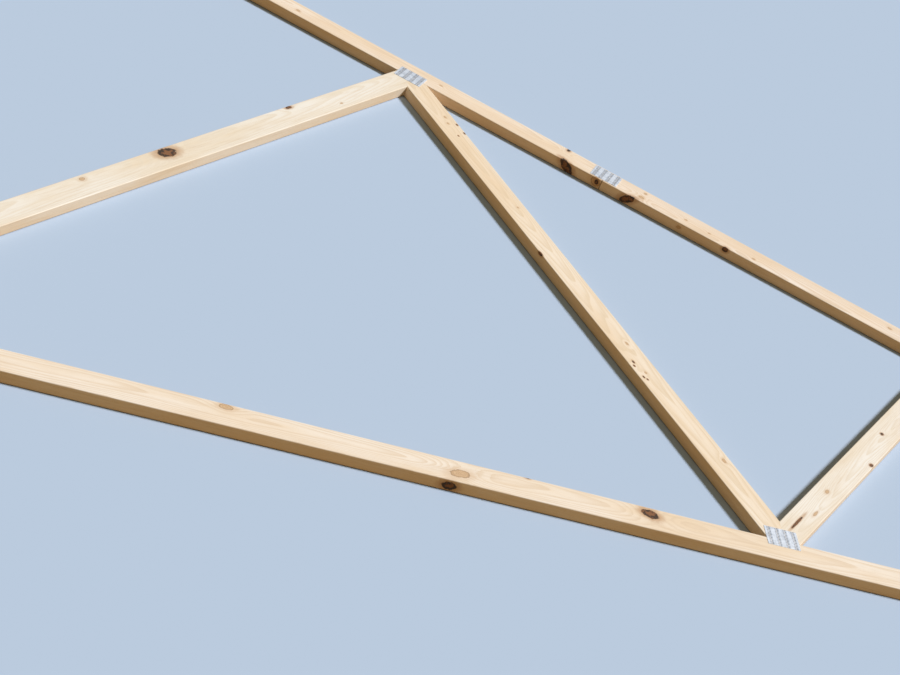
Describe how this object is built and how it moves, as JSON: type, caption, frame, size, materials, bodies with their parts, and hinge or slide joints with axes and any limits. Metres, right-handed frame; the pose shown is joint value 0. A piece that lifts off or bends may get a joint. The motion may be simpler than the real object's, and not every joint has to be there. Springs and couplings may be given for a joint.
{
  "type": "wooden roof truss",
  "caption": "Pitched timber roof truss of planed softwood boards with diagonal webs, king post and heel sliders, joined on both faces by punched nail plates.",
  "frame": {"origin": "centre of the truss in plan, on the level floor under its back nail plates; the truss lies flat", "axes": "+X along the span, +Y from the bottom chord to the peak, +Z out of the face that the picture shows"},
  "size_m": [12.192, 3.1534, 0.0401],
  "materials": {
    "timber": "planed, dry, unfinished",
    "galvanised_plate": "bright galvanised, dull sheen"
  },
  "bodies": {
    "root": {"bottom_chord_left": "timber", "top_chord_upper_left": "timber", "top_chord_lower_left": "timber", "slider_left": "timber", "outer_web_left": "timber", "middle_web_left": "timber", "inner_web_left": "timber", "bottom_chord_right": "timber", "top_chord_upper_right": "timber", "top_chord_lower_right": "timber", "slider_right": "timber", "outer_web_right": "timber", "middle_web_right": "timber", "inner_web_right": "timber", "king_post": "timber", "heel_plate_left_front": "galvanised_plate", "heel_plate_left_back": "galvanised_plate", "outer_plate_left_front": "galvanised_plate", "outer_plate_left_back": "galvanised_plate", "splice_plate_left_front": "galvanised_plate", "splice_plate_left_back": "galvanised_plate", "upper_plate_left_front": "galvanised_plate", "upper_plate_left_back": "galvanised_plate", "lower_plate_left_front": "galvanised_plate", "lower_plate_left_back": "galvanised_plate", "heel_plate_right_front": "galvanised_plate", "heel_plate_right_back": "galvanised_plate", "outer_plate_right_front": "galvanised_plate", "outer_plate_right_back": "galvanised_plate", "splice_plate_right_front": "galvanised_plate", "splice_plate_right_back": "galvanised_plate", "upper_plate_right_front": "galvanised_plate", "upper_plate_right_back": "galvanised_plate", "lower_plate_right_front": "galvanised_plate", "lower_plate_right_back": "galvanised_plate", "peak_plate_front": "galvanised_plate", "peak_plate_back": "galvanised_plate", "mid_plate_front": "galvanised_plate", "mid_plate_back": "galvanised_plate"}
  },
  "joints": []
}
